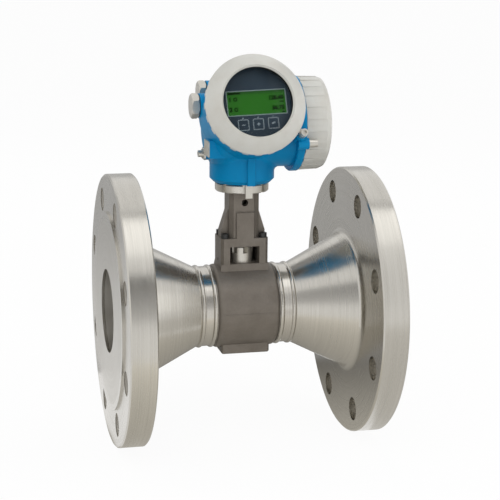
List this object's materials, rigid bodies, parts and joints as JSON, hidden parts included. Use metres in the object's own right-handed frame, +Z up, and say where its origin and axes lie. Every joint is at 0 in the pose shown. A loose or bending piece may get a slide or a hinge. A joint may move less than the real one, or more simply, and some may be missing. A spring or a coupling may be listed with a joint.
{
  "type": "vortex flow meter",
  "caption": "Flanged vortex flow meter with a reduced cast meter body, slender neck and a swivelling blue two-chamber head with a tilted display and screwed covers.",
  "frame": {"origin": "centre of the inlet flange's sealing face, on the pipe axis", "axes": "+X with the flow from inlet to outlet, +Z up the neck, the display looks towards -Y"},
  "size_m": [0.3, 0.3, 0.4326],
  "materials": {
    "turned_steel": "turned, with fine circular tool marks",
    "weld_steel": "polished with satin weld beads",
    "cast_steel": "matt fine-grained casting",
    "bright_steel": "bright machined",
    "dark_screw": "blackened",
    "blue_coating": "semi-gloss powder coating",
    "pale_coating": "satin powder coating",
    "seal_rubber": "matt",
    "gasket_graphite": "matt",
    "window_glass": "clear, polished",
    "dark_faceplate": "smooth satin film",
    "display_plastic": "moulded",
    "lcd_green": "smooth, lit green",
    "electronics_plastic": "moulded",
    "terminal_plastic": "moulded",
    "board_plastic": "moulded",
    "plate_metal": "satin, bare"
  },
  "bodies": {
    "pipe_and_neck": {"inlet_flange": "turned_steel", "outlet_flange": "turned_steel", "inlet_weld_ring": "weld_steel", "outlet_weld_ring": "weld_steel", "meter_body": "cast_steel", "shedder_bar": "bright_steel", "vortex_sensor": "bright_steel", "sensor_gasket": "gasket_graphite", "sensor_lock_nut": "bright_steel", "sensor_lead": "bright_steel", "neck_support": "cast_steel", "neck_screws": "dark_screw", "swivel_seal": "seal_rubber", "swivel_nut": "bright_steel"},
    "transmitter": {"transmitter_housing": "blue_coating", "swivel_tab": "bright_steel", "swivel_set_screw": "dark_screw", "display_cover_oring": "seal_rubber", "terminal_cover_oring": "seal_rubber", "electronics_module": "electronics_plastic", "terminal_board": "board_plastic", "terminal_block": "terminal_plastic", "terminal_screws": "bright_steel", "lower_cable_plug": "bright_steel", "upper_cable_plug": "bright_steel", "plug_seals": "seal_rubber", "ground_clamp": "bright_steel", "ground_screw": "bright_steel", "name_plate": "plate_metal", "plate_rivets": "bright_steel"},
    "display_module": {"display_case": "display_plastic", "lcd_panel": "lcd_green", "display_faceplate": "dark_faceplate"},
    "display_cover_set": {"display_cover": "pale_coating", "cover_window": "window_glass", "window_seal": "seal_rubber", "window_ring": "display_plastic"},
    "terminal_cover_set": {"terminal_cover": "pale_coating"},
    "display_clamp_set": {"display_cover_clamp": "bright_steel", "display_clamp_screw": "bright_steel"},
    "terminal_clamp_set": {"terminal_cover_clamp": "bright_steel", "terminal_clamp_screw": "bright_steel"}
  },
  "joints": [
    {"name": "transmitter_swivel", "type": "hinge", "parent": "pipe_and_neck", "child": "transmitter", "pos_m": [0.15, 0, 0.1402], "axis": [0, 0, 1], "range_deg": [-175, 175]},
    {"name": "display_turn", "type": "hinge", "parent": "transmitter", "child": "display_module", "pos_m": [0.15, -0.057, 0.22985], "axis": [0, -0.9397, 0.342], "range_deg": [-180, 180]},
    {"name": "display_cover_off", "type": "slide", "parent": "transmitter", "child": "display_cover_set", "axis": [0, -0.9397, 0.342], "range_m": [0, 0.06]},
    {"name": "terminal_cover_off", "type": "slide", "parent": "transmitter", "child": "terminal_cover_set", "axis": [1, 0, 0], "range_m": [0, 0.06]},
    {"name": "display_clamp_turn", "type": "hinge", "parent": "transmitter", "child": "display_clamp_set", "pos_m": [0.20082, -0.06201, 0.19853], "axis": [0, -0.9397, 0.342], "range_deg": [0, 90]},
    {"name": "terminal_clamp_turn", "type": "hinge", "parent": "transmitter", "child": "terminal_clamp_set", "pos_m": [0.2095, -0.05632, 0.18783], "axis": [1, 0, 0], "range_deg": [0, 90]}
  ]
}
